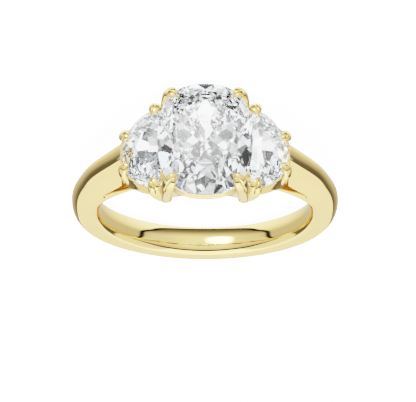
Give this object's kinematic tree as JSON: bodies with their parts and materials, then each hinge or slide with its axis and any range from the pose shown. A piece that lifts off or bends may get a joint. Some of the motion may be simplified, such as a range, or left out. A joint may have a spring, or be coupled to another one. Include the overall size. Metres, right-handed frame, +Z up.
{
  "type": "three stone ring",
  "caption": "Yellow gold finger ring with a cushion cut centre stone in pointed claws between half moon cut stones, lying on its side.",
  "frame": {"origin": "centre of the finger hole, on its axis, half way across the band", "axes": "+Z up from the table that the ring lies on, +Y level towards the head with the stones, +X level across the ring; the finger hole's axis leans 7.8 degrees back from +Z"},
  "size_m": [0.0206, 0.025, 0.0087],
  "materials": {
    "yellow_gold": "polished 18 carat yellow gold",
    "diamond": "polished, facetted, colourless"
  },
  "bodies": {
    "root": {"ring_mount": "yellow_gold", "centre_stone": "diamond", "half_moon_left": "diamond", "half_moon_right": "diamond"}
  },
  "joints": []
}
